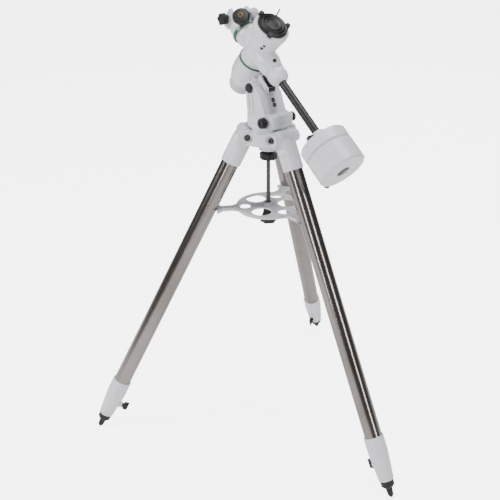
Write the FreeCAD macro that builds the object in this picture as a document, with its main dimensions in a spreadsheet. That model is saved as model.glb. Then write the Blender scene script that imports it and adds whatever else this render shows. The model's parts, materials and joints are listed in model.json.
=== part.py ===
"""Equatorial telescope mount on a steel-tube tripod.

The frame stands on the ground at the middle of the three feet's bounding box.
+X points north, towards leg 0, +Y west and +Z up.  All sizes are in millimetres.
"""
import FreeCAD, Part
import Sketcher
import math
import os

V = FreeCAD.Vector
doc = FreeCAD.newDocument("equatorial_mount")

# ---------------------------------------------------------------- driving dimensions
sheet = doc.addObject("Spreadsheet::Sheet", "dims")
SIZES = {
    # tripod
    "hinge_radius": 58.5, "hinge_height": 834, "leg_splay": 26.85, "leg_length": 935,
    "tube_radius": 22.25, "tube_wall": 1.6, "inner_radius": 16, "clamp_start": 771,
    "clamp_end": 888, "foot_cap_end": 905, "socket_end": 82, "hub_bottom": 812,
    "hub_top": 847, "hub_corner": 62, "hub_face": 28.8, "drum_radius": 68, "slot_half": 23.2,
    "knuckle_half": 22.8, "knuckle_radius": 19, "neck_top": 854, "hinge_bolt_radius": 5,
    # centre rod and tray
    "rod_radius": 5, "rod_bottom": 592, "rod_sleeve": 8, "hand_knob_bottom": 765,
    "tray_height": 636, "tray_plate": 4, "tray_radius": 82, "tray_rim": 10,
    "eyepiece_hole": 25.6, "small_hole": 15.9, "arm_reach": 134.5,
    # azimuth base and fork
    "base_bottom": 854.4, "base_top": 884, "base_radius": 52, "box_front": 53, "box_top": 889,
    "box_half": 32, "wall_top": 932, "peg_radius": 6, "peg_north": 32, "screw_height": 872,
    "cheek_inner": 17, "cheek_outer": 34, "pivot_north": -29.6, "pivot_height": 944,
    "pivot_radius": 17, "pivot_bolt": 7,
    # polar axis
    "latitude": 53, "axes_north": -33, "axes_height": 1031, "ring_radius": 37.5,
    "polar_shaft": 19, "polar_bore": 12, "polar_start": 33.5, "polar_end": 132,
    # declination axis
    "front_radius": 44, "front_end": 78, "dec_barrel": 33, "dec_ring": 36.5,
    "dec_shaft": 12, "dec_end": 58, "collar_start": 70,
    # counterweights
    "bar_radius": 10, "bar_end": 366, "weight_radius": 59, "upper_start": 281,
    "upper_end": 312, "lower_end": 373, "weight_clearance": 0.3,
}
for row, (alias, value) in enumerate(SIZES.items(), start=1):
    sheet.set(f"A{row}", alias)
    sheet.set(f"B{row}", str(value))
    sheet.setAlias(f"B{row}", alias)
doc.recompute()


def size(expression):
    """A number worked out from the sheet, for example size('hub_top - hub_bottom')."""
    return float(summed(expression))


def summed(expression):
    """Adds and subtracts the terms of an expression of aliases and plain numbers."""
    total, sign = 0.0, 1.0
    for term in str(expression).replace("+", " + ").replace("-", " - ").split():
        if term == "+":
            sign = 1.0
        elif term == "-":
            sign = -1.0
        else:
            value = SIZES[term] if term in SIZES else float(term)
            total += sign * value
            sign = 1.0
    return total


def linked(expression):
    """The same expression with its aliases pointing at the sheet."""
    terms = str(expression).replace("+", " + ").replace("-", " - ").split()
    return " ".join("dims." + term if term in SIZES else term for term in terms)


# ---------------------------------------------------------------- frames
AXIS_X = -(size("hinge_radius") + size("leg_length") * math.sin(math.radians(size("leg_splay")))) / 4
TRIPOD = FreeCAD.Placement(V(AXIS_X, 0, 0), FreeCAD.Rotation())
POLAR = TRIPOD * FreeCAD.Placement(V(size("axes_north"), 0, size("axes_height")),
                                   FreeCAD.Rotation(V(0, 1, 0), 90 - size("latitude")))
PIVOT = TRIPOD * FreeCAD.Placement(V(size("pivot_north"), 0, size("pivot_height")),
                                   FreeCAD.Rotation())
CLUTCH = FreeCAD.Placement(V(-76, 0, 0), FreeCAD.Rotation(V(0, 0, 1), V(0, -0.55, 0.835)))
LEG_AZIMUTHS = [0, 120, 240]
WALL_SCREWS = [(2, 917), (3, 906)]


def at(x=0.0, y=0.0, z=0.0, axis=V(0, 0, 1), angle=0.0):
    return FreeCAD.Placement(V(x, y, z), FreeCAD.Rotation(axis, angle))


def along(direction, x=0.0, y=0.0, z=0.0):
    """A frame at x, y, z whose own Z axis points along direction."""
    return FreeCAD.Placement(V(x, y, z), FreeCAD.Rotation(V(0, 0, 1), direction))


def leg_frame(azimuth):
    """Origin at the hinge, Z down the leg, Y along the hinge and X inwards."""
    hinge = at(axis=V(0, 0, 1), angle=azimuth) * at(x=size("hinge_radius"), z=size("hinge_height"))
    return TRIPOD * hinge * at(axis=V(0, 1, 0), angle=180 - size("leg_splay"))


# ---------------------------------------------------------------- building blocks
def made(kind, name, placement, **sizes):
    """A Part primitive with its sizes bound to the sheet."""
    item = doc.addObject(kind, name)
    for prop, expression in sizes.items():
        item.setExpression(prop, linked(expression))
    item.Placement = placement
    return item


def cylinder(name, placement, radius, height):
    return made("Part::Cylinder", name, placement, Radius=radius, Height=height)


def cone(name, placement, bottom, top, height):
    return made("Part::Cone", name, placement, Radius1=bottom, Radius2=top, Height=height)


def box(name, placement, length, width, height):
    """A box centred on its frame's Z axis, standing on the frame's XY plane."""
    middle = at(x=-size(length) / 2, y=-size(width) / 2)
    return made("Part::Box", name, placement * middle, Length=length, Width=width, Height=height)


def fused(name, items):
    item = doc.addObject("Part::MultiFuse", name)
    item.Shapes = items
    item.Refine = True
    return item


def cut(name, base, tools):
    item = doc.addObject("Part::Cut", name)
    item.Base = base
    item.Tool = tools[0] if len(tools) == 1 else fused(name + "_tools", tools)
    item.Refine = True
    return item


def body_sketch(name, plane_role):
    body = doc.addObject("PartDesign::Body", name)
    sketch = body.newObject("Sketcher::SketchObject", name + "_sketch")
    plane = next(f for f in body.Origin.OriginFeatures if f.Role == plane_role)
    sketch.AttachmentSupport = [(plane, "")]
    sketch.MapMode = "FlatFace"
    return body, sketch


def draw_outline(sketch, points):
    """A closed outline whose corners are each held by dimensions bound to the sheet."""
    corners = [V(size(a), size(b), 0) for a, b in points]
    for index, corner in enumerate(corners):
        following = corners[(index + 1) % len(corners)]
        sketch.addGeometry(Part.LineSegment(corner, following), False)
    for index, (a, b) in enumerate(points):
        previous = (index - 1) % len(points)
        sketch.addConstraint(Sketcher.Constraint("Coincident", previous, 2, index, 1))
        for kind, value in (("DistanceX", a), ("DistanceY", b)):
            number = size(value)
            if abs(number) < 1e-9:
                axis = -2 if kind == "DistanceX" else -1
                sketch.addConstraint(Sketcher.Constraint("PointOnObject", index, 1, axis))
                continue
            row = sketch.addConstraint(Sketcher.Constraint(kind, -1, 1, index, 1, number))
            if any(alias in str(value) for alias in SIZES):
                sketch.setExpression(f"Constraints[{row}]", linked(value))


def turned(name, placement, points):
    """A PartDesign body turned about its frame's Z axis from (radius, height) corners."""
    body, sketch = body_sketch(name, "XZ_Plane")
    draw_outline(sketch, points)
    turn = body.newObject("PartDesign::Revolution", name + "_turn")
    turn.Profile = sketch
    turn.ReferenceAxis = (sketch, ["V_Axis"])
    turn.Angle = 360
    body.Placement = placement
    return body


def plate(name, placement, points, height):
    """A PartDesign body padded up from an outline on its frame's XY plane."""
    body, sketch = body_sketch(name, "XY_Plane")
    draw_outline(sketch, points)
    pad = body.newObject("PartDesign::Pad", name + "_pad")
    pad.Profile = sketch
    pad.setExpression("Length", linked(height))
    body.Placement = placement
    return body


def knob(name, placement, radius, height, lobes, stem_radius, stem_length):
    """A lobed hand knob on a threaded stem that runs down from its frame's origin."""
    parts = [cylinder(name + "_core", placement, f"{radius} - 2.5", height),
             cylinder(name + "_stem", placement * at(z=-stem_length), stem_radius, stem_length + 1)]
    rim = 2 * math.pi * radius / lobes / 3.4
    for index in range(lobes):
        turn = at(angle=360 * index / lobes) * at(x=radius - rim)
        parts.append(cylinder(f"{name}_lobe{index}", placement * turn, rim, height))
    return fused(name, parts)


NODES = {}


def node(name, item):
    item.Label = name
    NODES[name] = item
    return item


# ---------------------------------------------------------------- tripod hub
def build_hub():
    outline = []
    for azimuth in LEG_AZIMUTHS:
        for side in (-1, 1):
            corner = at(angle=azimuth).multVec(V(size("hub_corner"), side * size("hub_face"), 0))
            outline.append((round(corner.x, 3), round(corner.y, 3)))
    block = plate("hub_block", TRIPOD * at(z=size("hub_bottom")), outline, "hub_top - hub_bottom")
    parts = [block, cylinder("hub_boss", TRIPOD * at(z=790), 24, "hub_bottom - 789"),
             cylinder("hub_drum", TRIPOD * at(z=size("hub_bottom") + 3), "drum_radius",
                      "hub_top - hub_bottom - 3"),
             cylinder("hub_neck", TRIPOD * at(z=size("hub_top") - 1), 50, "neck_top - hub_top + 1")]
    gaps = [cylinder("hub_bore", TRIPOD * at(z=780), "rod_sleeve + 0.1", 80)]
    for azimuth in LEG_AZIMUTHS:
        turn = TRIPOD * at(angle=azimuth)
        hinge = turn * at(x=size("hinge_radius"), z=size("hinge_height"))
        for side in (-1, 1):
            lug = hinge * along(V(0, side, 0), y=side * size("slot_half"))
            parts.append(cylinder(f"hub_lug{azimuth}_{side + 1}", lug, 16, 15))
            gaps.append(cylinder(f"hub_face{azimuth}_{side + 1}", lug * at(z=15), 12, 30))
        gaps.append(box(f"hub_slot{azimuth}", turn * at(x=62, z=780), 56, "slot_half + slot_half", 80))
        bolt_hole = hinge * along(V(0, 1, 0), y=-50)
        gaps.append(cylinder(f"hub_hole{azimuth}", bolt_hole, "hinge_bolt_radius", 100))
    node("tripod_hub", cut("hub", fused("hub_solid", parts), gaps))


def build_hinge_bolts():
    """One bolt through each pair of lugs, with a washer and a socket head at each end."""
    bolts = []
    for azimuth in LEG_AZIMUTHS:
        hinge = TRIPOD * at(angle=azimuth) * at(x=size("hinge_radius"), z=size("hinge_height"))
        shank = cylinder(f"bolt_shank{azimuth}", hinge * along(V(0, 1, 0), y=-41), "hinge_bolt_radius", 82)
        ends = []
        for side in (-1, 1):
            outside = hinge * along(V(0, side, 0), y=side * 38.2)
            ends.append(cylinder(f"bolt_washer{azimuth}_{side + 1}", outside, 8, 1.5))
            head = cylinder(f"bolt_head{azimuth}_{side + 1}", outside * at(z=1.5), 6.5, 4)
            socket = made("Part::Prism", f"bolt_socket{azimuth}_{side + 1}", outside * at(z=2.5),
                          Circumradius=4, Height=5)
            ends.append(cut(f"bolt_end{azimuth}_{side + 1}", head, [socket]))
        bolts.append(fused(f"bolt{azimuth}", [shank] + ends))
    group = doc.addObject("Part::Compound", "hinge_bolt_group")
    group.Links = bolts
    node("hinge_bolts", group)


# ---------------------------------------------------------------- legs
def build_leg(index, azimuth):
    frame = leg_frame(azimuth)
    knuckle = cylinder(f"knuckle{index}", frame * along(V(0, 1, 0), y=-size("knuckle_half")),
                       "knuckle_radius", "knuckle_half + knuckle_half")
    neck = doc.addObject("Part::Common", f"neck{index}")
    neck.Base = cylinder(f"neck_round{index}", frame * at(z=6), 25.5, 28)
    neck.Tool = box(f"neck_flat{index}", frame * at(z=5), 60, "knuckle_half + knuckle_half", 34)
    cup = turned(f"cup{index}", frame, [(0, 24), (22, 24), (25.5, 34), (25.5, "socket_end - 3"),
                                        (24.5, "socket_end"), (0, "socket_end")])
    tube_hole = cylinder(f"cup_hole{index}", frame * at(z=40), "tube_radius", 60)
    pin_hole = cylinder(f"pin_hole{index}", frame * along(V(0, 1, 0), y=-40), "hinge_bolt_radius + 0.05", 80)
    solid = fused(f"socket_solid{index}", [knuckle, neck, cup])
    node(f"leg_socket_{index}", cut(f"socket{index}", solid, [tube_hole, pin_hole]))

    outer = cylinder(f"tube_outer{index}", frame * at(z=40), "tube_radius", "clamp_start - 10")
    inner = cylinder(f"tube_inner{index}", frame * at(z=39), "tube_radius - tube_wall", "clamp_start + 5")
    node(f"leg_tube_{index}", cut(f"tube{index}", outer, [inner]))

    shell = turned(f"clamp_shell{index}", frame, [
        (0, "clamp_start"), (24.5, "clamp_start"), (25.5, "clamp_start + 3"), (25.5, "clamp_start + 42"),
        (19.5, "clamp_end - 2"), (18.5, "clamp_end"), (0, "clamp_end")])
    boss = cylinder(f"clamp_boss{index}", frame * along(V(1, 0, 0), x=15, z=850), 8.5, 14)
    tube_seat = cylinder(f"clamp_seat{index}", frame * at(z=size("clamp_start") - 1), "tube_radius", 31)
    slide = cylinder(f"clamp_slide{index}", frame * at(z=size("clamp_start") - 2), "inner_radius + 0.08", 150)
    thread = cylinder(f"clamp_thread{index}", frame * along(V(1, 0, 0), x=10, z=850), 3.05, 30)
    node(f"leg_clamp_{index}", cut(f"clamp{index}", fused(f"clamp_solid{index}", [shell, boss]),
                                   [tube_seat, slide, thread]))

    lower = cylinder(f"lower_outer{index}", frame * at(z=380), "inner_radius", "foot_cap_end - 382")
    hollow = cylinder(f"lower_hollow{index}", frame * at(z=379), "inner_radius - tube_wall", 480)
    node(f"leg_lower_{index}", cut(f"lower{index}", lower, [hollow]))
    foot = turned(f"foot_body{index}", frame, [
        (0, "clamp_end + 1"), (17.5, "clamp_end + 1"), (17, "foot_cap_end - 2"), (15, "foot_cap_end"),
        (9, "foot_cap_end + 6"), (7, "leg_length - 6"), (3, "leg_length"), (0, "leg_length")])
    seat = cylinder(f"foot_seat{index}", frame * at(z=380), "inner_radius", "foot_cap_end - 382")
    node(f"leg_foot_{index}", cut(f"foot{index}", foot, [seat]))

    screw_frame = frame * along(V(1, 0, 0), x=size("inner_radius") + 0.4, z=850)
    stem = cylinder(f"screw_stem{index}", screw_frame, 3, 22)
    head = cylinder(f"screw_head{index}", screw_frame * at(z=14), 6.5, 8)
    wing = box(f"screw_wing{index}", screw_frame * at(z=19), 24, 4, 13)
    node(f"leg_screw_{index}", fused(f"screw{index}", [stem, head, wing]))


# ---------------------------------------------------------------- centre rod and tray
def build_rod_and_tray():
    """The rod screws the head to the hub and carries the tray below it."""
    rod = cylinder("rod_low", TRIPOD * at(z=size("rod_bottom")), "rod_radius", "855 - rod_bottom")
    sleeve = cylinder("rod_sleeve_part", TRIPOD * at(z=784), "rod_sleeve", 50)
    node("mount_bolt", fused("mount_bolt_solid", [rod, sleeve]))

    frame = TRIPOD * at(z=size("hand_knob_bottom"))
    grip = knob("hand_knob_grip", frame, 22, 15, 8, 9, 1)
    top = cone("hand_knob_top", frame * at(z=15), 19, 11, 4)
    hole = cylinder("hand_knob_hole", frame * at(z=-5), "rod_radius", 40)
    node("mount_bolt_knob", cut("hand_knob", fused("hand_knob_solid", [grip, top]), [hole]))

    frame = TRIPOD * at(z=size("tray_height"))
    parts = [cylinder("tray_disc", frame, "tray_radius", "tray_plate"),
             cylinder("tray_edge", frame * at(z=-4), "tray_radius", 8)]
    gaps = [cylinder("tray_edge_hollow", frame * at(z=-5), "tray_radius - 3", 5),
            cylinder("tray_centre", frame * at(z=-9), "rod_radius + 0.1", 30)]
    for index, azimuth in enumerate(LEG_AZIMUTHS):
        arm = frame * at(angle=azimuth)
        parts.append(plate(f"tray_arm{index}", arm * at(z=-4), [
            (70, -24), (92, -10), (118, -9), ("arm_reach", -24), ("arm_reach", 24), (118, 9), (92, 10),
            (70, 24)], 8))
        cradle = leg_frame(azimuth) * at(z=150)
        gaps.append(cylinder(f"tray_cradle{index}", cradle, "tube_radius + 0.6", 150))
        gaps.append(cylinder(f"small_hole{index}", arm * at(x=61, z=-9), "small_hole", 30))
        gaps.append(cylinder(f"arm_slot{index}", arm * at(x=101, z=-9), 4, 30))
        between = frame * at(angle=azimuth + 60)
        gaps.append(cylinder(f"large_hole{index}", between * at(x=50, z=-9), "eyepiece_hole", 30))
    parts.append(cylinder("tray_boss", frame * at(z=-4), 13, 14))
    ring_gaps = gaps[1:]
    rim = cut("tray_rim_ring", parts[1], [gaps[0]])
    solid = fused("tray_solid", [parts[0], rim] + parts[2:])
    node("accessory_tray", cut("tray", solid, ring_gaps))

    frame = TRIPOD * at(z=593)
    grip = knob("tray_knob_grip", frame, 21, 14, 6, 12, 0)
    neck = cone("tray_knob_neck", frame * at(z=14), 17, 11, 24.6)
    hole = cylinder("tray_knob_hole", frame * at(z=-5), "rod_radius + 0.03", 60)
    node("tray_knob", cut("tray_knob_cut", fused("tray_knob_solid", [grip, neck]), [hole]))


# ---------------------------------------------------------------- azimuth base and fork
def build_azimuth():
    peg_frame = TRIPOD * at(x=size("peg_north"))
    node("azimuth_peg", cylinder("peg", peg_frame * at(z=size("neck_top")), "peg_radius", 27))

    disc = turned("base_disc", TRIPOD, [(0, "base_bottom"), ("base_radius", "base_bottom"),
                                        ("base_radius", "base_top - 3"), ("base_radius - 3", "base_top"),
                                        (0, "base_top")])
    front = box("base_box", TRIPOD * at(x=size("box_front") / 2, z=size("base_bottom + 5")),
                "box_front", "box_half + box_half", "box_top - base_bottom - 5")
    peg_room = box("peg_room", TRIPOD * at(x=size("peg_north"), z=840), 18, 34, 46)
    centre = cylinder("base_thread", TRIPOD * at(z=840), "rod_radius + 0.05", 20)
    screw = cylinder("base_screw_hole", TRIPOD * along(V(0, 1, 0), x=size("peg_north"), y=-60,
                                                       z=size("screw_height")), 4.05, 120)
    knob_rooms = [cylinder(f"knob_room{side + 1}", TRIPOD * along(V(0, side, 0), x=size("peg_north"),
                                                                 y=side * size("box_half"),
                                                                 z=size("screw_height")), 14.5, 30)
                  for side in (-1, 1)]
    node("azimuth_base", cut("base", fused("base_solid", [disc, front]),
                             [peg_room, centre, screw] + knob_rooms))

    for name, side in (("azimuth_screw_east", -1), ("azimuth_screw_west", 1)):
        frame = TRIPOD * along(V(0, side, 0), x=size("peg_north"), y=side * 37.5, z=size("screw_height"))
        grip = knob(name + "_grip", frame, 12, 15, 12, 4, 31)
        dimple = cylinder(name + "_dimple", frame * at(z=13.5), 5, 3)
        node(name, cut(name + "_solid", grip, [dimple]))

    # The fork leans back to the south as it rises and carries the pivot between its cheeks.
    tools = []
    cheeks = []
    outline = [(-40, "base_top - 6"), (30, "base_top - 6"), (8, "wall_top"), (-8, "pivot_height + 4"),
               (-30, "pivot_height + 8"), (-46, "pivot_height")]
    for side in (-1, 1):
        start = size("cheek_inner") if side > 0 else -size("cheek_outer")
        side_frame = TRIPOD * FreeCAD.Placement(V(0, start, 0), FreeCAD.Rotation(V(1, 0, 0), 90))
        thickness = "cheek_outer - cheek_inner"
        shift = side_frame * at(z=-size(thickness))
        cheeks.append(plate(f"cheek{side + 1}", shift, outline, thickness))
        round_top = PIVOT * along(V(0, 1, 0), y=start)
        cheeks.append(cylinder(f"cheek_top{side + 1}", round_top, "pivot_radius", thickness))
        for flute in (-28, -14):
            recess = TRIPOD * FreeCAD.Placement(V(flute, side * size("cheek_outer"), 890),
                                                FreeCAD.Rotation(V(0, 1, 0), -8))
            tools.append(cylinder(f"flute{flute}_{side + 1}", recess, 3.2, 42))
    wall_frame = TRIPOD * FreeCAD.Placement(V(0, size("cheek_outer"), 0), FreeCAD.Rotation(V(1, 0, 0), 90))
    wall = [(21, "base_top - 6"), (30, "base_top - 6"), (8, "wall_top"), (-1, "wall_top")]
    cheeks.append(plate("north_wall", wall_frame, wall, "cheek_outer + cheek_outer"))
    tools.append(cylinder("scale_room", PIVOT * along(V(0, 1, 0), y=-11.5), 44, 23))
    tools.append(box("box_seat", TRIPOD * at(x=size("box_front") / 2, z=size("base_bottom + 5")),
                     "box_front", "box_half + box_half", "box_top - base_bottom - 5"))
    tools.append(cylinder("pivot_hole", PIVOT * along(V(0, 1, 0), y=-60), "pivot_bolt", 120))
    seat = cylinder("fork_seat", TRIPOD * at(z=size("base_top") - 20), 300, 20)
    standing = cut("fork_on_base", fused("fork_solid", cheeks), [seat])
    node("latitude_fork", cut("fork", standing, tools))

    bolt = cylinder("pivot_shank", PIVOT * along(V(0, 1, 0), y=-size("cheek_outer + 2")), "pivot_bolt",
                    "cheek_outer + cheek_outer + 4")
    caps = []
    for side in (-1, 1):
        cap = PIVOT * along(V(0, side, 0), y=side * (size("cheek_outer") + 0.02))
        caps.append(turned(f"pivot_cap{side + 1}", cap, [(0, 0), (12, 0), (12, 4), (9.5, 7), (0, 7)]))
    node("pivot_bolt", fused("pivot_bolt_solid", [bolt] + caps))

    screws = []
    wall_rise = size("wall_top - base_top + 6")
    lean = math.degrees(math.atan2(wall_rise, 22))
    for index, (west, height) in enumerate(WALL_SCREWS):
        north = 8 + (size("wall_top") - height) * 22 / wall_rise + 0.02
        frame = TRIPOD * FreeCAD.Placement(V(north, west, height), FreeCAD.Rotation(V(0, 1, 0), lean))
        screws.append(cylinder(f"wall_screw{index}", frame, 5.2, 2.6))
    group = doc.addObject("Part::Compound", "wall_screw_group")
    group.Links = screws
    node("fork_screws", group)


# ---------------------------------------------------------------- polar axis
def build_polar():
    """The housing that tilts in the fork, with its bearing shaft, worm wheel and worm."""
    shell = turned("polar_shell", POLAR, [
        (0, "-36.8"), (36.5, "-36.8"), (37.5, -42), (40, -62), (39.5, -84), (34, -104), (30, -106),
        (0, -106)])
    local_pivot = POLAR.inverse().multVec(PIVOT.Base)
    ear_frame = POLAR * along(V(0, 1, 0), x=local_pivot.x, y=-16.6, z=local_pivot.z)
    ear = cylinder("polar_ear", ear_frame, 16, 33.2)
    web = box("polar_web", POLAR * at(x=local_pivot.x / 2 + 8, z=local_pivot.z - 15),
              f"{round(local_pivot.x - 16, 3)}", 33.2, 30)
    cavity = cylinder("polar_cavity", POLAR * at(z=-107), "polar_shaft + 0.05", 80)
    wheel_room = cylinder("polar_wheel_room", POLAR * at(z=-82), 31.4, 22)
    worm_room = cylinder("polar_worm_room", POLAR * along(V(0, 1, 0), x=-29.4, y=-24, z=-71), 7.4, 48)
    pin_hole = cylinder("polar_pin_hole", PIVOT * along(V(0, 1, 0), y=-60), "pivot_bolt + 0.05", 120)
    node("polar_housing", cut("polar", fused("polar_solid", [shell, ear, web]),
                              [cavity, wheel_room, worm_room, pin_hole]))
    cap = turned("rear_cap", POLAR, [(0, -106.2), (30, -106.2), (30, -126), (26, -134), (0, -134)])
    rear_hollow = cylinder("rear_hollow", POLAR * at(z=-132), "polar_shaft + 0.4", 30)
    node("polar_rear_cap", cut("rear_cap_solid", cap, [rear_hollow]))

    # The latitude scale is a sector about the pivot, with its rim facing north and up.
    disc = cylinder("scale_disc", PIVOT * along(V(0, -1, 0), y=11), 43, 22)
    keep = plate("scale_keep", PIVOT * FreeCAD.Placement(V(0, 30, 0), FreeCAD.Rotation(V(1, 0, 0), 90)),
                 [(0, 0), (60, -9), (60, 70), (20, 60), (4, 20)], 60)
    sector = doc.addObject("Part::Common", "scale_sector")
    sector.Base = disc
    sector.Tool = keep
    clear = [cylinder("scale_shell_gap", POLAR * at(z=-108), 41, 72.5),
             cylinder("scale_ear_gap", PIVOT * along(V(0, 1, 0), y=-60), 16.05, 120),
             box("scale_web_gap", POLAR * at(x=local_pivot.x / 2 + 8, z=local_pivot.z - 15.05),
                 f"{round(local_pivot.x - 16, 3)}", 33.2, 30.1),
             cylinder("scale_sweep_gap", POLAR * at(z=-37.8), 150, 100)]
    node("latitude_scale", cut("scale", sector, clear))

    ring = turned("circle_ring", POLAR, [
        (20, -36.5), ("ring_radius + 0.7", -36.5), ("ring_radius + 0.7", -31.6), (36.05, -31.6),
        (36.05, -33.9), (20, -33.9)])
    node("polar_circle", ring)
    shaft = cylinder("polar_shaft_solid", POLAR * at(z=-size("polar_end") + 2), "polar_shaft", 96)
    bore = cylinder("polar_bore_hole", POLAR * at(z=-140), "polar_bore", 120)
    node("polar_shaft", cut("polar_axle", shaft, [bore]))
    wheel = cylinder("wheel_disc", POLAR * at(z=-78), 24, 14)
    hole = cylinder("wheel_hole", POLAR * at(z=-80), "polar_shaft + 0.05", 20)
    node("polar_wheel", cut("wheel", wheel, [hole]))
    worm = cylinder("worm_barrel", POLAR * along(V(0, 1, 0), x=-29.4, y=-22, z=-71), 5, 44)
    node("polar_worm", worm)


# ---------------------------------------------------------------- declination axis
def build_declination():
    barrel = turned("dec_barrel_part", POLAR * along(V(1, 0, 0)), [
        (0, "-dec_end"), ("dec_barrel", "-dec_end"), ("dec_barrel", -44), (28, -26), (29, 44), (24, 69.8),
        (0, 69.8)])
    front = turned("front_barrel", POLAR, [
        (0, "-polar_start"), (36, "-polar_start"), (36, -26), (33, -12), (33, 8), (37, 36),
        ("front_radius", 66), ("front_radius", "front_end - 3"), ("front_radius - 3", "front_end"),
        (0, "front_end")])
    plug_frame = POLAR * along(V(0, -0.2, 0.98), x=58, y=-4, z=20)
    bores = [cylinder("plug_seat", plug_frame, 5, 30),
             cylinder("front_bore", POLAR * at(z=-40), "polar_bore", 140),
             cylinder("front_counterbore", POLAR * at(z=50), 30, 40),
             cylinder("shaft_seat", POLAR * at(z=-40), "polar_shaft", 10),
             cylinder("dec_bore", POLAR * along(V(1, 0, 0), x=-70), "dec_shaft + 0.1", 132),
             cylinder("dec_wheel_room", POLAR * along(V(1, 0, 0), x=-52), 25, 14)]
    node("dec_housing", cut("dec_body", fused("dec_solid", [barrel, front]), bores))

    cap = turned("front_cap_disc", POLAR, [
        (0, 78.4), (37, 78.4), (37, 83), (34, 86), (30, 84.5), (26, 87), (22, 85), (18, 87.5), (13, 86),
        (0, 87)])
    lugs = []
    for azimuth in (75, 195, 315):
        lug = POLAR * at(angle=azimuth) * at(x=39, z=78.4)
        lugs.append(cylinder(f"cap_lug{azimuth}", lug, 6, 9))
    skirt = cylinder("front_cap_skirt", POLAR * at(z=68), 29.9, 12)
    node("front_cap", fused("front_cap_solid", [cap, skirt] + lugs))

    node("dec_plug", cylinder("dec_plug_disc", plug_frame, 5, 7))

    # A clutch lever on the west side of the polar barrel, its handle standing up past the cap.
    lever = POLAR * along(V(-0.66, 0.75, 0), x=-0.66 * 41, y=0.75 * 41, z=60)
    parts = [cylinder("lever_hub", lever * at(z=3.5), 6, 6),
             cylinder("lever_stick", POLAR * at(x=-0.66 * 47.5, y=0.75 * 47.5, z=58), 1.8, 38)]
    node("polar_clutch_lever", fused("lever", parts))

    ring = turned("dec_ring_part", POLAR * along(V(-1, 0, 0)), [
        (13, "dec_end + 0.4"), ("dec_barrel + 0.4", "dec_end + 0.4"), ("dec_barrel + 0.4", "dec_end - 2.5"),
        ("dec_ring + 0.5", "dec_end - 2.5"), ("dec_ring + 0.5", "dec_end + 5"), (13, "dec_end + 5")])
    node("dec_circle", ring)
    shaft = cylinder("dec_axle_bar", POLAR * along(V(1, 0, 0), x=-80), "dec_shaft", 140)
    sight = cylinder("dec_sight", POLAR * at(z=-30), 9, 60)
    node("dec_shaft", cut("dec_axle", shaft, [sight]))
    wheel = cylinder("dec_wheel_disc", POLAR * along(V(1, 0, 0), x=-50), 22, 10)
    hole = cylinder("dec_wheel_hole", POLAR * along(V(1, 0, 0), x=-55), "dec_shaft + 0.05", 20)
    node("dec_wheel", cut("dec_wheel_solid", wheel, [hole]))

    head = turned("dec_head_part", POLAR * along(V(-1, 0, 0)), [
        (0, 63.2), (32, 63.2), (34, 68), (34, 80), (30, 92), (0, 92)])
    seat = cylinder("head_seat", POLAR * along(V(1, 0, 0), x=-80), "dec_shaft", 140)
    clutch_hole = cylinder("clutch_hole", POLAR * CLUTCH * at(z=10), 3.05, 60)
    node("dec_head", cut("dec_head_solid", head, [seat, clutch_hole]))
    dial = turned("clutch_dial", POLAR * CLUTCH, [(0, 38), (19, 38), (21, 41), (21, 48), (18, 51), (9, 52),
                                                  (0, 52)])
    stem = cylinder("clutch_stem", POLAR * CLUTCH * at(z=14), 3, 30)
    node("dec_clutch_knob", fused("clutch_knob", [dial, stem]))
    cover = POLAR * at(x=-77, y=12)
    post = fused("dec_cover_fused", [cylinder("dec_cover_post", cover, 12, 46),
                                     cone("dec_cover_top", cover * at(z=46), 12, 8, 6)])
    cover_gap = cylinder("dec_cover_gap", POLAR * along(V(-1, 0, 0), x=-60), 34.05, 60)
    node("dec_cover", cut("dec_cover_solid", post, [cover_gap]))

    # The saddle carries a dovetail bar along the polar axis and clamps it from the east.
    frame = POLAR * at(x=-92.2)
    block = made("Part::Box", "saddle_block", frame * at(x=-24, y=-29, z=-23),
                 Length=24, Width=58, Height=46)
    slot = plate("saddle_slot", frame * at(z=-40), [(-25, -18.5), (-13, -22.2), (-13, 22.2), (-25, 18.5)], 80)
    threads = [cylinder("saddle_thread_main", frame * along(V(0, -1, 0), x=-17, z=-3), 4.05, 50),
               cylinder("saddle_thread_safety", frame * along(V(0, 1, 0), x=-17, z=6), 4.05, 50)]
    node("saddle", cut("saddle_solid", block, [slot] + threads))
    main = frame * along(V(0, -1, 0), x=-17, y=-33, z=-3)
    node("saddle_knob_main", knob("saddle_main", main, 14.5, 14, 5, 4, 10))
    safety = frame * along(V(0, 1, 0), x=-17, y=32, z=6)
    node("saddle_knob_safety", knob("saddle_safety", safety, 8, 9, 6, 4, 9))


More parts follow.
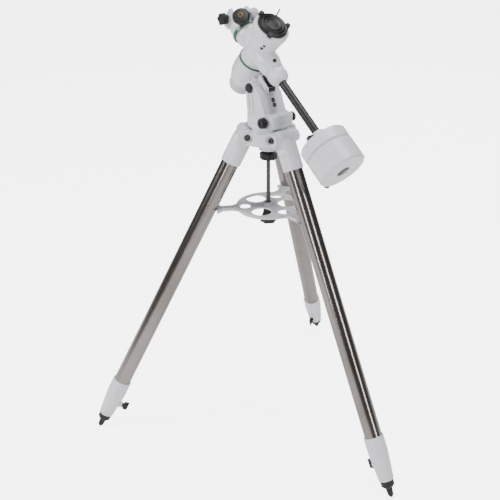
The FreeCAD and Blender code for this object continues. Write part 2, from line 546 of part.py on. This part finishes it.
# ---------------------------------------------------------------- counterweights
def build_counterweights():
    axis = POLAR * along(V(1, 0, 0))
    collar = turned("collar_dome", axis, [
        (0, "collar_start"), (22, "collar_start"), (24.5, 78), (24.5, 88), (22, 97), (16, 104), (12, 106),
        (0, 106)])
    seat = cylinder("collar_seat", axis * at(z=75), "bar_radius", 60)
    node("shaft_collar", cut("collar", collar, [seat]))
    node("counterweight_bar", cylinder("bar", axis * at(z=75), "bar_radius", "bar_end - 75"))
    end = turned("end_stop_part", axis, [(0, "bar_end"), (15, "bar_end"), (15, "bar_end + 4"),
                                         (0, "bar_end + 4")])
    node("bar_end_screw", end)

    def weight(name, start, finish):
        return turned(name + "_disc", axis, [
            ("bar_radius + weight_clearance", start), ("weight_radius - 4", start),
            ("weight_radius", f"{start} + 4"), ("weight_radius", f"{finish} - 4"),
            ("weight_radius - 4", finish), ("bar_radius + weight_clearance", finish)])

    upper = weight("upper_weight", "upper_start", "upper_end")
    boss = turned("upper_boss", axis, [("bar_radius + weight_clearance", 260), (16, 260),
                                       (16, "upper_start + 1"), ("bar_radius + weight_clearance",
                                                                 "upper_start + 1")])
    upper_screw = axis * along(V(0, -1, 0), z=270)
    thread = cylinder("upper_thread", upper_screw, 4.05, 40)
    node("counterweight_upper", cut("upper_weight_solid", fused("upper_fused", [upper, boss]), [thread]))
    node("weight_lock_upper", knob("upper_lock", upper_screw * at(z=19), 9, 14, 6, 4, 8))

    lower = weight("lower_weight", "upper_end + 0.8", "lower_end")
    recess = cylinder("lower_recess", axis * at(z=size("bar_end") - 0.6), 17, 30)
    lock_axis = axis * along(V(1, 0, 0), z=360)
    lock_hole = cylinder("lower_thread", lock_axis, 4.05, 80)
    lock_room = cylinder("lower_lock_room", lock_axis * at(z=44), 11, 40)
    node("counterweight_lower", cut("lower_weight_solid", lower, [recess, lock_hole, lock_room]))
    node("weight_lock_lower", knob("lower_lock", lock_axis * at(z=59), 9, 15, 6, 4, 48))


build_hub()
build_hinge_bolts()
for leg_index, leg_azimuth in enumerate(LEG_AZIMUTHS):
    build_leg(leg_index, leg_azimuth)
build_rod_and_tray()
build_azimuth()
build_polar()
build_declination()
build_counterweights()

# ---------------------------------------------------------------- checks and export
doc.recompute()
problems = []
for item in doc.Objects:
    if "Invalid" in item.State or "Error" in item.State:
        problems.append(f"{item.Name}: {item.State}")
for name, item in NODES.items():
    if item.Shape.isNull() or not item.Shape.isValid() or not item.Shape.Solids:
        problems.append(f"{name}: bad shape")
if problems:
    raise SystemExit("\n".join(problems))

os.makedirs("parts", exist_ok=True)
for name, item in NODES.items():
    item.Shape.exportStep(f"parts/{name}.step")
print(len(NODES), "nodes written")
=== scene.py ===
"""Equatorial mount on its tripod: materials, small visible details, light and camera."""
import bpy
import json
import math
from mathutils import Matrix, Vector


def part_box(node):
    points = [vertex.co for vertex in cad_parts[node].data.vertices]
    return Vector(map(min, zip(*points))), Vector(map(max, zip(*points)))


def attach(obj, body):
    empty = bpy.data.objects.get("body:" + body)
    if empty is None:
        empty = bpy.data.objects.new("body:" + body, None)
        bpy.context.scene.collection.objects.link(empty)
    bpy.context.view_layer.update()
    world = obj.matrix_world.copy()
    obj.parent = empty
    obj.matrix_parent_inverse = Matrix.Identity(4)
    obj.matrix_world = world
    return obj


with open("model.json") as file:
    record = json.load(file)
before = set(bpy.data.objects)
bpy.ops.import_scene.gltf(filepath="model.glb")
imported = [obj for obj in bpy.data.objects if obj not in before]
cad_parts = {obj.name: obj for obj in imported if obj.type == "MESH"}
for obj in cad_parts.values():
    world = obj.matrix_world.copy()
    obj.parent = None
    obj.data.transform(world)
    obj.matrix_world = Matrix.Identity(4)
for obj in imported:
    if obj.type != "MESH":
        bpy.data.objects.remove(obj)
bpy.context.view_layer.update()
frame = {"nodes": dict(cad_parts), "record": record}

# ---------------------------------------------------------------- frames of the object
NODES = frame["nodes"]
LEG_AZIMUTHS = (0, 120, 240)
LEG_SPLAY = math.radians(26.85)
NORTH = Vector((1, 0, 0))
WEST = Vector((0, 1, 0))


def middle(node):
    """The middle of a CAD node's box."""
    low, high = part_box(node)
    return (Vector(low) + Vector(high)) / 2


AXIS_X = middle("mount_bolt").x
LATITUDE = math.radians(53)
POLE = Vector((math.cos(LATITUDE), 0, math.sin(LATITUDE)))
ACROSS = Vector((math.sin(LATITUDE), 0, -math.cos(LATITUDE)))
CENTRE = Vector((AXIS_X - 0.033, 0, 1.031))
PIVOT = Vector((AXIS_X - 0.0296, 0, 0.944))


def polar(x, y, z):
    """A point given along the declination axis, to the west and along the polar axis."""
    return CENTRE + ACROSS * x + Vector((0, y, 0)) + POLE * z


# ---------------------------------------------------------------- materials
def new_material(name):
    """An empty node material, with its tree and its shader."""
    material = bpy.data.materials.new(name)
    material.use_nodes = True
    tree = material.node_tree
    return material, tree, tree.nodes["Principled BSDF"]


def noise(tree, scale, detail=4.0, stretch=None, space="Object"):
    """Noise over the object's own coordinates, stretched along an axis if wanted."""
    coordinates = tree.nodes.new("ShaderNodeTexCoord")
    mapping = tree.nodes.new("ShaderNodeMapping")
    texture = tree.nodes.new("ShaderNodeTexNoise")
    texture.inputs["Scale"].default_value = scale
    texture.inputs["Detail"].default_value = detail
    if stretch:
        mapping.inputs["Scale"].default_value = stretch
    tree.links.new(coordinates.outputs[space], mapping.inputs["Vector"])
    tree.links.new(mapping.outputs["Vector"], texture.inputs["Vector"])
    return texture.outputs["Fac"], mapping


def ramp(tree, source, stops):
    """A colour ramp from (position, colour) stops."""
    node = tree.nodes.new("ShaderNodeValToRGB")
    while len(node.color_ramp.elements) < len(stops):
        node.color_ramp.elements.new(0.5)
    for element, (position, colour) in zip(node.color_ramp.elements, stops):
        element.position = position
        element.color = (*colour, 1)
    tree.links.new(source, node.inputs["Fac"])
    return node.outputs["Color"]


def spread(tree, source, low, high):
    """The source's 0 to 1 mapped to low to high."""
    node = tree.nodes.new("ShaderNodeMapRange")
    node.inputs["To Min"].default_value = low
    node.inputs["To Max"].default_value = high
    tree.links.new(source, node.inputs["Value"])
    return node.outputs["Result"]


def bump(tree, shader, source, strength, distance):
    """The source as height on the shader's normal."""
    node = tree.nodes.new("ShaderNodeBump")
    node.inputs["Strength"].default_value = strength
    node.inputs["Distance"].default_value = distance
    tree.links.new(source, node.inputs["Height"])
    tree.links.new(node.outputs["Normal"], shader.inputs["Normal"])


def enamel(name, light, dark, roughness=(0.2, 0.34), orange_peel=0.12, coat=0.35):
    """Sprayed enamel on a casting: a fine orange peel, faint colour drift and grime in patches."""
    material, tree, shader = new_material(name)
    drift, _ = noise(tree, 14, 6)
    tree.links.new(ramp(tree, drift, [(0.3, dark), (0.62, light)]), shader.inputs["Base Color"])
    patches, _ = noise(tree, 60, 3)
    tree.links.new(spread(tree, patches, *roughness), shader.inputs["Roughness"])
    peel, _ = noise(tree, 900, 2)
    bump(tree, shader, peel, orange_peel, 0.0004)
    shader.inputs["Coat Weight"].default_value = coat
    shader.inputs["Coat Roughness"].default_value = 0.12
    return material


def moulded(name, light, dark, roughness=(0.34, 0.5)):
    """Moulded plastic: fine spark texture and slight wear in the gloss."""
    material, tree, shader = new_material(name)
    drift, _ = noise(tree, 45, 5)
    tree.links.new(ramp(tree, drift, [(0.35, dark), (0.7, light)]), shader.inputs["Base Color"])
    patches, _ = noise(tree, 120, 4)
    tree.links.new(spread(tree, patches, *roughness), shader.inputs["Roughness"])
    grain, _ = noise(tree, 2200, 2)
    bump(tree, shader, grain, 0.25, 0.0003)
    return material


def polished_tube(name, direction):
    """Drawn and polished steel tube: fine lines along the tube, and darker, browner patches in
    places, which are painted shade.
    """
    material, tree, shader = new_material(name)
    shader.inputs["Metallic"].default_value = 1.0
    lines, mapping = noise(tree, 700, 3)
    mapping.vector_type = "TEXTURE"
    mapping.inputs["Rotation"].default_value = Vector(direction).to_track_quat("Z", "Y").to_euler()
    mapping.inputs["Scale"].default_value = (1, 1, 60)
    # Painted shade: noise mixes a darker, browner steel into the tube in random patches.
    brown_shade_patches, _ = noise(tree, 5, 3)
    tree.links.new(ramp(tree, brown_shade_patches, [(0.3, (0.24, 0.21, 0.195)), (0.7, (0.34, 0.315, 0.3))]),
                   shader.inputs["Base Color"])
    tree.links.new(spread(tree, lines, 0.13, 0.27), shader.inputs["Roughness"])
    bump(tree, shader, lines, 0.02, 0.0001)
    return material


def machined(name, light, dark, roughness=(0.2, 0.4)):
    """Turned metal with a fine even grain."""
    material, tree, shader = new_material(name)
    shader.inputs["Metallic"].default_value = 1.0
    drift, _ = noise(tree, 200, 4)
    tree.links.new(ramp(tree, drift, [(0.3, dark), (0.7, light)]), shader.inputs["Base Color"])
    tree.links.new(spread(tree, drift, *roughness), shader.inputs["Roughness"])
    grain, _ = noise(tree, 1800, 2)
    bump(tree, shader, grain, 0.12, 0.0002)
    return material


WHITE = enamel("white_enamel", (0.82, 0.825, 0.875), (0.77, 0.775, 0.835))
GREY = enamel("grey_enamel", (0.66, 0.66, 0.7), (0.58, 0.58, 0.62), roughness=(0.35, 0.5))
TRAY_WHITE = enamel("tray_enamel", (0.7, 0.69, 0.74), (0.62, 0.61, 0.67), roughness=(0.3, 0.45))
GREEN = enamel("green_enamel", (0.022, 0.12, 0.055), (0.012, 0.08, 0.035), roughness=(0.25, 0.4))
BLACK = moulded("black_plastic", (0.008, 0.008, 0.009), (0.004, 0.004, 0.005))
DARK_BAR = moulded("black_bar", (0.01, 0.009, 0.0085), (0.005, 0.0045, 0.0045), roughness=(0.3, 0.44))
SCALE_BLACK = moulded("scale_black", (0.016, 0.016, 0.018), (0.008, 0.008, 0.009))
BRASS = machined("machined_brass", (0.78, 0.6, 0.3), (0.66, 0.48, 0.22))
AGED_BRASS = machined("aged_brass", (0.26, 0.19, 0.09), (0.16, 0.11, 0.055))
BOLT_STEEL = machined("bolt_steel", (0.5, 0.5, 0.51), (0.32, 0.32, 0.33))
NORTH_FACE_GREY = enamel("north_face_grey", (0.66, 0.67, 0.71), (0.6, 0.61, 0.65), roughness=(0.3, 0.4))
TICK = enamel("tick_enamel", (0.62, 0.7, 0.64), (0.5, 0.6, 0.53), roughness=(0.4, 0.5))
DARK_STEEL = machined("dark_steel", (0.13, 0.125, 0.12), (0.07, 0.068, 0.066))

SLOT_MATERIALS = {"white_paint": WHITE, "grey_paint": GREY, "green_ring": GREEN,
                  "black_plastic": BLACK, "black_steel": DARK_BAR, "brass": BRASS,
                  "steel": BOLT_STEEL}


def paint(obj, material):
    """One material over the whole piece, kept on its mesh."""
    obj.data.materials.clear()
    obj.data.materials.append(material)


def paint_cad_nodes():
    """Each CAD node gets the material of its slot, and the tubes one with lines along them."""
    slots = {part["node"]: part["material_slot"] for part in frame["record"]["subparts"]}
    for name, obj in NODES.items():
        paint(obj, SLOT_MATERIALS[slots[name]])
    paint(NODES["accessory_tray"], TRAY_WHITE)
    for name in ("hinge_bolts", "mount_bolt", "bar_end_screw"):
        paint(NODES[name], DARK_STEEL)
    for index, azimuth in enumerate(LEG_AZIMUTHS):
        turn = Matrix.Rotation(math.radians(azimuth), 3, "Z")
        direction = turn @ Vector((math.sin(LEG_SPLAY), 0, -math.cos(LEG_SPLAY)))
        steel = polished_tube(f"tube_steel_{index}", direction)
        paint(NODES[f"leg_tube_{index}"], steel)
        paint(NODES[f"leg_lower_{index}"], steel)


def round_cap_edges():
    """A small bevel on the front cap, which acts on the few sharp edges that its faces share."""
    bevel = NODES["front_cap"].modifiers.new("edge", "BEVEL")
    bevel.width = 0.0016
    bevel.segments = 2
    bevel.limit_method = "ANGLE"
    bevel.angle_limit = math.radians(40)


# ---------------------------------------------------------------- small visible pieces
CUBE_CORNERS = [(x, y, z) for x in (-0.5, 0.5) for y in (-0.5, 0.5) for z in (-0.5, 0.5)]
CUBE_FACES = [(0, 1, 3, 2), (4, 6, 7, 5), (0, 4, 5, 1), (2, 3, 7, 6), (0, 2, 6, 4), (1, 5, 7, 3)]


def piece(name, vertices, faces, material, body):
    """A new mesh in the row frame that rides on a body."""
    mesh = bpy.data.meshes.new(name)
    mesh.from_pydata([tuple(v) for v in vertices], [], faces)
    mesh.update()
    obj = bpy.data.objects.new(name, mesh)
    bpy.context.scene.collection.objects.link(obj)
    paint(obj, material)
    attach(obj, body)
    return obj


def blocks(name, places, material, body):
    """Many small boxes as one piece, from (matrix, (length, width, height)) pairs."""
    vertices = []
    faces = []
    for matrix, size in places:
        start = len(vertices)
        for corner in CUBE_CORNERS:
            vertices.append(matrix @ Vector([c * s for c, s in zip(corner, size)]))
        faces.extend([tuple(start + index for index in face) for face in CUBE_FACES])
    return piece(name, vertices, faces, material, body)


def basis(origin, x_axis, y_axis):
    """A matrix at origin whose X and Y axes point along the given directions."""
    x_axis = Vector(x_axis).normalized()
    z_axis = x_axis.cross(Vector(y_axis)).normalized()
    y_axis = z_axis.cross(x_axis)
    matrix = Matrix((x_axis, y_axis, z_axis)).transposed().to_4x4()
    matrix.translation = Vector(origin)
    return matrix


def circle_ticks(name, centre, axis, start, radius, width, count, body):
    """Short pale marks round a setting circle, every sixth one longer."""
    short_mark = 0.55
    depth = 0.0003
    breadth = 0.0005
    places = []
    for index in range(count):
        angle = 2 * math.pi * index / count
        outward = Matrix.Rotation(angle, 3, axis) @ start
        length = width if index % 6 == 0 else width * short_mark
        shift = axis * (width - length) / 2
        place = centre + outward * radius + shift
        places.append((basis(place, outward, axis), (depth, length, breadth)))
    blocks(name, places, TICK, body)


def build_setting_circles():
    """Marks for the polar and the declination circle, which lie just under the rings' surface."""
    circle_ticks("polar_ticks", polar(0, 0, -0.03525), POLE, ACROSS, 0.0375, 0.0019, 96, "ra_head")
    circle_ticks("dec_ticks", polar(-0.0607, 0, 0), ACROSS, POLE, 0.0365, 0.0036, 90, "dec_axis")


def build_latitude_scale():
    """Dark band over the sector's rim and upper edge, with degree marks beside it."""
    half_width = 0.0105
    radius = 0.0432
    thickness = 0.001
    edge_start = Vector((0.0205, 0, 0.0301))
    rim_start = 6
    rim_turn = 14
    rim_steps = 6
    rim = []
    for step in range(rim_steps + 1):
        angle = math.radians(rim_start - rim_turn * step / rim_steps)
        rim.append(Vector((math.cos(angle), 0, math.sin(angle))) * radius)
    path = [edge_start] + rim
    vertices = []
    faces = []
    for point in path:
        inward = -point.normalized() * thickness
        for offset in (Vector((0, 0, 0)), inward):
            for side in (-half_width, half_width):
                vertices.append(PIVOT + point + offset + Vector((0, side, 0)))
    for step in range(len(path) - 1):
        a = step * 4
        faces += [(a, a + 1, a + 5, a + 4), (a + 2, a + 6, a + 7, a + 3), (a, a + 4, a + 6, a + 2),
                  (a + 1, a + 3, a + 7, a + 5)]
    last = len(vertices) - 4
    faces += [(0, 2, 3, 1), (last, last + 1, last + 3, last + 2)]
    # The band is a near-black sheet 1 mm thick over the rim and the upper edge, in the same dark as
    # the degree marks.
    piece("latitude_rim", vertices, faces, SCALE_BLACK, "polar_head")
    east_face = Vector((0, -0.0111, 0))
    rim_margin = 0.004
    places = []
    for index in range(9):
        angle = math.radians(4 - index * 1.5)
        outward = Vector((math.cos(angle), 0, math.sin(angle)))
        length = 0.006 if index % 4 == 0 else 0.0035
        place = PIVOT + outward * (radius - rim_margin - length / 2) + east_face
        places.append((basis(place, outward, WEST), (length, 0.0003, 0.0004)))
    blocks("latitude_ticks", places, SCALE_BLACK, "polar_head")


def build_housing_screws():
    """Two small cross-head screws on the east side of the front housing, their cross slots drawn as
    black bars: painted shade of the recesses.
    """
    east = Vector((0, -0.0335, 0))
    head_size = (0.0056, 0.0056, 0.0024)
    slot_size = (0.005, 0.001, 0.0004)
    slot_rise = 0.0012
    places = []
    slots = []
    for x, z, reach in ((0.034, 0.048, 0.0392), (0.03, 0.037, 0.0375)):
        outward = (ACROSS * x + east).normalized()
        place = CENTRE + POLE * z + outward * reach
        for turn in (0, 22.5, 45, 67.5):
            along = Matrix.Rotation(math.radians(turn), 3, outward) @ POLE
            places.append((basis(place, along, outward.cross(along)), head_size))
        # Painted shade: black bars on each head stand for the shaded cross recess.
        for turn in (20, 110):
            along = Matrix.Rotation(math.radians(turn), 3, outward) @ POLE
            slot = basis(place + outward * slot_rise, along, outward.cross(along))
            slots.append((slot, slot_size))
    blocks("housing_screws", places, DARK_STEEL, "ra_head")
    blocks("housing_screw_slot_shade", slots, BLACK, "ra_head")


def build_clutch_centre():
    """A brass boss in the middle of the declination clutch knob, with a black bar across it: painted
    shade of its slot.
    """
    outward = (Vector((0, -0.55, 0)) + POLE * 0.835).normalized()
    knob_along = 0.076
    knob_reach = 0.0522
    bar_size = (0.0125, 0.0052, 0.0016)
    slot_size = (0.01, 0.0014, 0.0006)
    slot_rise = 0.0009
    centre = CENTRE - ACROSS * knob_along + outward * knob_reach
    places = []
    for turn in (0, 22.5, 45, 67.5):
        along = Matrix.Rotation(math.radians(turn), 3, outward) @ ACROSS
        places.append((basis(centre, along, outward.cross(along)), bar_size))
        places.append((basis(centre, outward.cross(along), along), bar_size))
    blocks("clutch_boss", places, AGED_BRASS, "dec_clutch")
    # Painted shade: the black bar stands for the shaded slot.
    slot = basis(centre + outward * slot_rise, ACROSS, outward.cross(ACROSS))
    blocks("clutch_boss_slot_shade", [(slot, slot_size)], BLACK, "dec_clutch")


def build_north_face_sheet():
    """A thin blue-grey sheet, darker than the white enamel, on the base box's north face, with
    nothing on it.
    """
    low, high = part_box("azimuth_base")
    sheet_north = 0.0533
    sheet_size = (0.0006, 0.05, 0.021)
    box_step = 0.005
    centre = Vector((AXIS_X + sheet_north, 0, (low[2] + box_step + high[2]) / 2))
    blocks("north_face_sheet", [(basis(centre, NORTH, WEST), sheet_size)], NORTH_FACE_GREY, "azimuth_head")


# ---------------------------------------------------------------- stage, light, camera
def build_stage():
    """Pale paper underfoot and a plain studio around, both brighter to the camera than as light."""
    bpy.ops.mesh.primitive_plane_add(size=30, location=(0, 0, 0))
    floor = bpy.context.object
    floor.name = "floor"
    material, tree, shader = new_material("floor_paper")
    tone, _ = noise(tree, 2, 3)
    tree.links.new(ramp(tree, tone, [(0.3, (0.9, 0.9, 0.9)), (0.7, (0.94, 0.94, 0.94))]),
                   shader.inputs["Base Color"])
    shader.inputs["Roughness"].default_value = 0.9
    shader.inputs["Emission Color"].default_value = (1, 1, 1, 1)
    seen = tree.nodes.new("ShaderNodeLightPath")
    glow = spread(tree, seen.outputs["Is Camera Ray"], 0.22, 5.0)
    tree.links.new(glow, shader.inputs["Emission Strength"])
    paint(floor, material)
    world = bpy.data.worlds.new("studio")
    world.use_nodes = True
    backdrop = world.node_tree.nodes["Background"]
    backdrop.inputs["Color"].default_value = (1, 1, 1, 1)
    seen = world.node_tree.nodes.new("ShaderNodeLightPath")
    glow = spread(world.node_tree, seen.outputs["Is Camera Ray"], 0.1, 5.0)
    world.node_tree.links.new(glow, backdrop.inputs["Strength"])
    bpy.context.scene.world = world


def area_light(name, place, target, width, height, power):
    """A rectangular soft light turned towards its target."""
    data = bpy.data.lights.new(name, "AREA")
    data.shape = "RECTANGLE"
    data.size = width
    data.size_y = height
    data.energy = power
    light = bpy.data.objects.new(name, data)
    light.location = place
    light.rotation_euler = (Vector(target) - Vector(place)).to_track_quat("-Z", "Y").to_euler()
    bpy.context.scene.collection.objects.link(light)


def build_camera():
    """The camera stands to the north-east, about 1.5 m up, looking down 26 degrees."""
    heading = math.radians(50)
    distance = 1.994
    height = 1.495
    tilt = math.radians(25.86)
    data = bpy.data.cameras.new("camera")
    data.sensor_width = 36
    data.lens = 60.71
    data.shift_x = -0.0367
    data.shift_y = -0.014
    camera = bpy.data.objects.new("camera", data)
    camera.location = (AXIS_X + distance * math.sin(heading), -distance * math.cos(heading), height)
    camera.rotation_euler = (math.pi / 2 - tilt, 0, heading)
    bpy.context.scene.collection.objects.link(camera)
    bpy.context.scene.camera = camera


paint_cad_nodes()
round_cap_edges()
build_setting_circles()
build_latitude_scale()
build_housing_screws()
build_clutch_centre()
build_north_face_sheet()
build_stage()
head = Vector((AXIS_X, 0, 0.9))
area_light("key", (-1.9, -3.0, 2.7), head, 1.4, 1.8, 125)
area_light("strip_east", (1.6, -3.6, 1.9), head, 0.3, 2.6, 46)
area_light("strip_north", (3.6, 0.2, 1.8), head, 0.35, 2.8, 46)
area_light("back", (-1.6, 3.2, 2.4), head, 1.4, 2.2, 40)
area_light("top", (0.2, 0.3, 3.6), head, 2.2, 2.2, 80)
build_camera()
